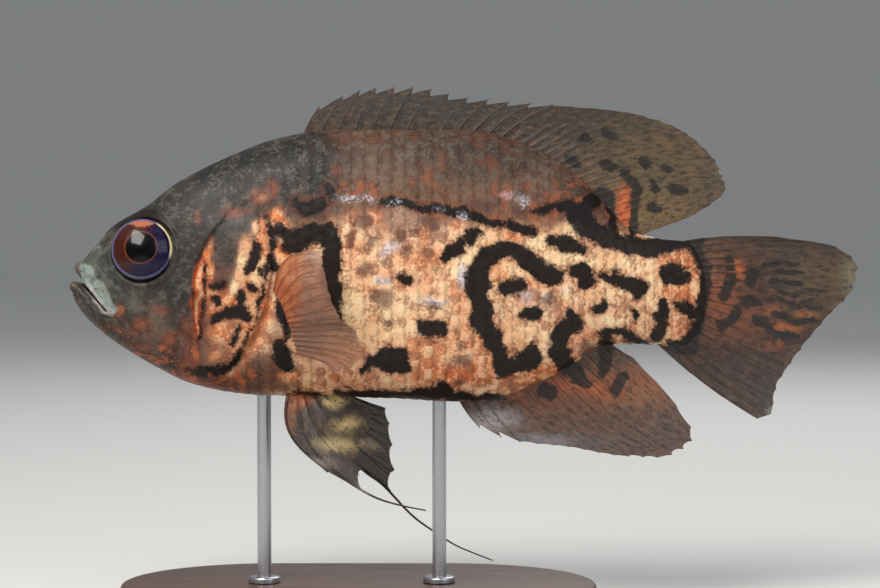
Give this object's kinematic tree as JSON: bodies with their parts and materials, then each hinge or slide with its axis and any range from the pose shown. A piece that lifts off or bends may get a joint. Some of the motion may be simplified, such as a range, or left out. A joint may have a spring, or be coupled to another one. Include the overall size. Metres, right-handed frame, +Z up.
{
  "type": "oscar fish model on a display stand",
  "caption": "Still life-size model of a swimming oscar, a deep-bodied aquarium cichlid with spread fins, held by rods on a plain oval base.",
  "frame": {"origin": "middle of the base's flat underside, below the fish's centre of mass", "axes": "+X from the snout towards the tail, +Y towards the fish's right side, +Z up"},
  "size_m": [0.2262, 0.084, 0.1494],
  "materials": {
    "skin_dark": "satin, wet look",
    "skin": "satin, wet look",
    "fin": "thin, slightly see-through",
    "pectoral_fin": "thin, slightly see-through",
    "eye": "polished",
    "wood": "oiled",
    "steel": "satin"
  },
  "bodies": {
    "root": {"head": "skin_dark", "lower_jaw": "skin_dark", "gill_cover_left": "skin", "gill_cover_right": "skin", "torso": "skin", "tail_stem": "skin", "eye_left": "eye", "eye_right": "eye", "dorsal_fin": "fin", "anal_fin": "fin", "tail_fin": "fin", "pelvic_fin_left": "fin", "pelvic_fin_right": "fin", "pectoral_fin_left": "pectoral_fin", "pectoral_fin_right": "pectoral_fin", "stand_base": "wood", "stand_rod_front": "steel", "stand_rod_rear": "steel"}
  },
  "joints": []
}
